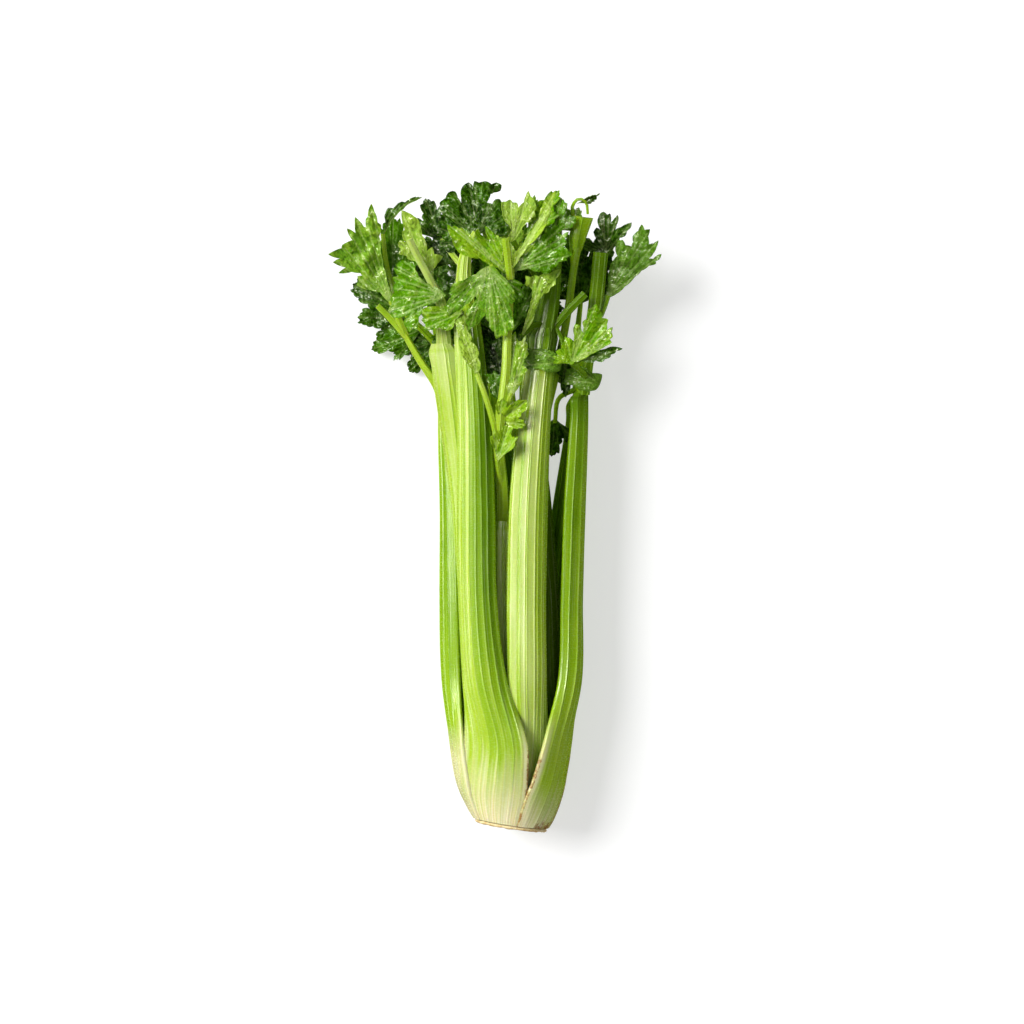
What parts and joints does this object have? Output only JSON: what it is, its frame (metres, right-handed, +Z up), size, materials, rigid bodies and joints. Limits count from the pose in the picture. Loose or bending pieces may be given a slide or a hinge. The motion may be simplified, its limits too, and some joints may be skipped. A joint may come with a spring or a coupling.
{
  "type": "head of celery",
  "caption": "Head of celery lying on its side: ribbed stalks wrapped round a trimmed pale root end, with leafy green tops.",
  "frame": {"origin": "middle of the head's footprint, on the surface it lies on", "axes": "+Y from the trimmed root end towards the leaf tips, +Z up from the surface, +X to the right as the leaves point away"},
  "size_m": [0.1947, 0.3803, 0.0918],
  "materials": {
    "crown_cut": "matte, dry cut plant tissue",
    "stalk_outer": "satin, moist skin, paler towards the root end",
    "stalk_middle": "satin, moist skin",
    "stalk_heart": "satin, moist skin",
    "leaf_bright": "semi-gloss leaf",
    "leaf_green": "semi-gloss leaf",
    "leaf_dark": "semi-gloss leaf",
    "leaf_pale": "satin leaf"
  },
  "bodies": {
    "root": {"crown": "crown_cut", "stalk_front_left": "stalk_outer", "stalk_right": "stalk_outer", "stalk_left": "stalk_outer", "stalk_under_middle": "stalk_outer", "stalk_under_left": "stalk_outer", "stalk_under_right": "stalk_outer", "stalk_front_right": "stalk_middle", "stalk_left_inner": "stalk_middle", "stalk_right_inner": "stalk_middle", "stalk_under_inner": "stalk_middle", "stalk_heart_front": "stalk_heart", "stalk_heart_left": "stalk_heart", "stalk_heart_right": "stalk_heart", "leaves_front_left": "leaf_dark", "leaves_right": "leaf_green", "leaves_left": "leaf_bright", "leaves_under_middle": "leaf_dark", "leaves_under_left": "leaf_dark", "leaves_under_right": "leaf_dark", "leaves_front_right": "leaf_pale", "leaves_left_inner": "leaf_bright", "leaves_right_inner": "leaf_pale", "leaves_under_inner": "leaf_dark", "leaves_heart_front": "leaf_bright", "leaves_heart_left": "leaf_pale", "leaves_heart_right": "leaf_pale"}
  },
  "joints": []
}
